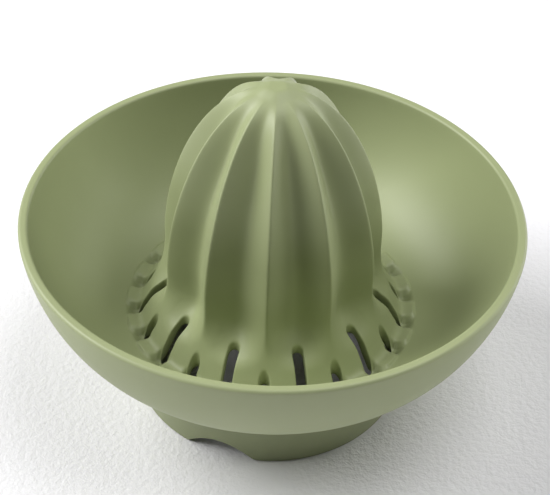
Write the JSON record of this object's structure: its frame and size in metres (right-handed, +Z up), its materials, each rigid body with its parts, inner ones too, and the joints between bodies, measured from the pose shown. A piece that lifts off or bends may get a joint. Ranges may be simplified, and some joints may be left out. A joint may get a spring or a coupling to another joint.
{
  "type": "citrus juicer",
  "caption": "Hand citrus juicer: a round bowl with a fluted dome reamer in its middle and a slotted strainer around it, standing on a low open foot ring with an arched notch.",
  "frame": {"origin": "on the table, on the juicer's vertical axis, at the bottom of the foot ring", "axes": "+Z up along the axis of the bowl and reamer; -Y through the reamer's ridge that faces the viewer of the picture; +X to the viewer's right"},
  "size_m": [0.1404, 0.1403, 0.1006],
  "materials": {
    "head_plastic": "matte sage green, moulded",
    "foot_plastic": "matte sage green, moulded"
  },
  "bodies": {
    "foot": {"foot_ring": "foot_plastic"},
    "head": {"juicer_head": "head_plastic"}
  },
  "joints": [
    {"name": "head_lift", "type": "slide", "parent": "foot", "child": "head", "axis": [0, 0, 1], "range_m": [0, 0.03]}
  ]
}
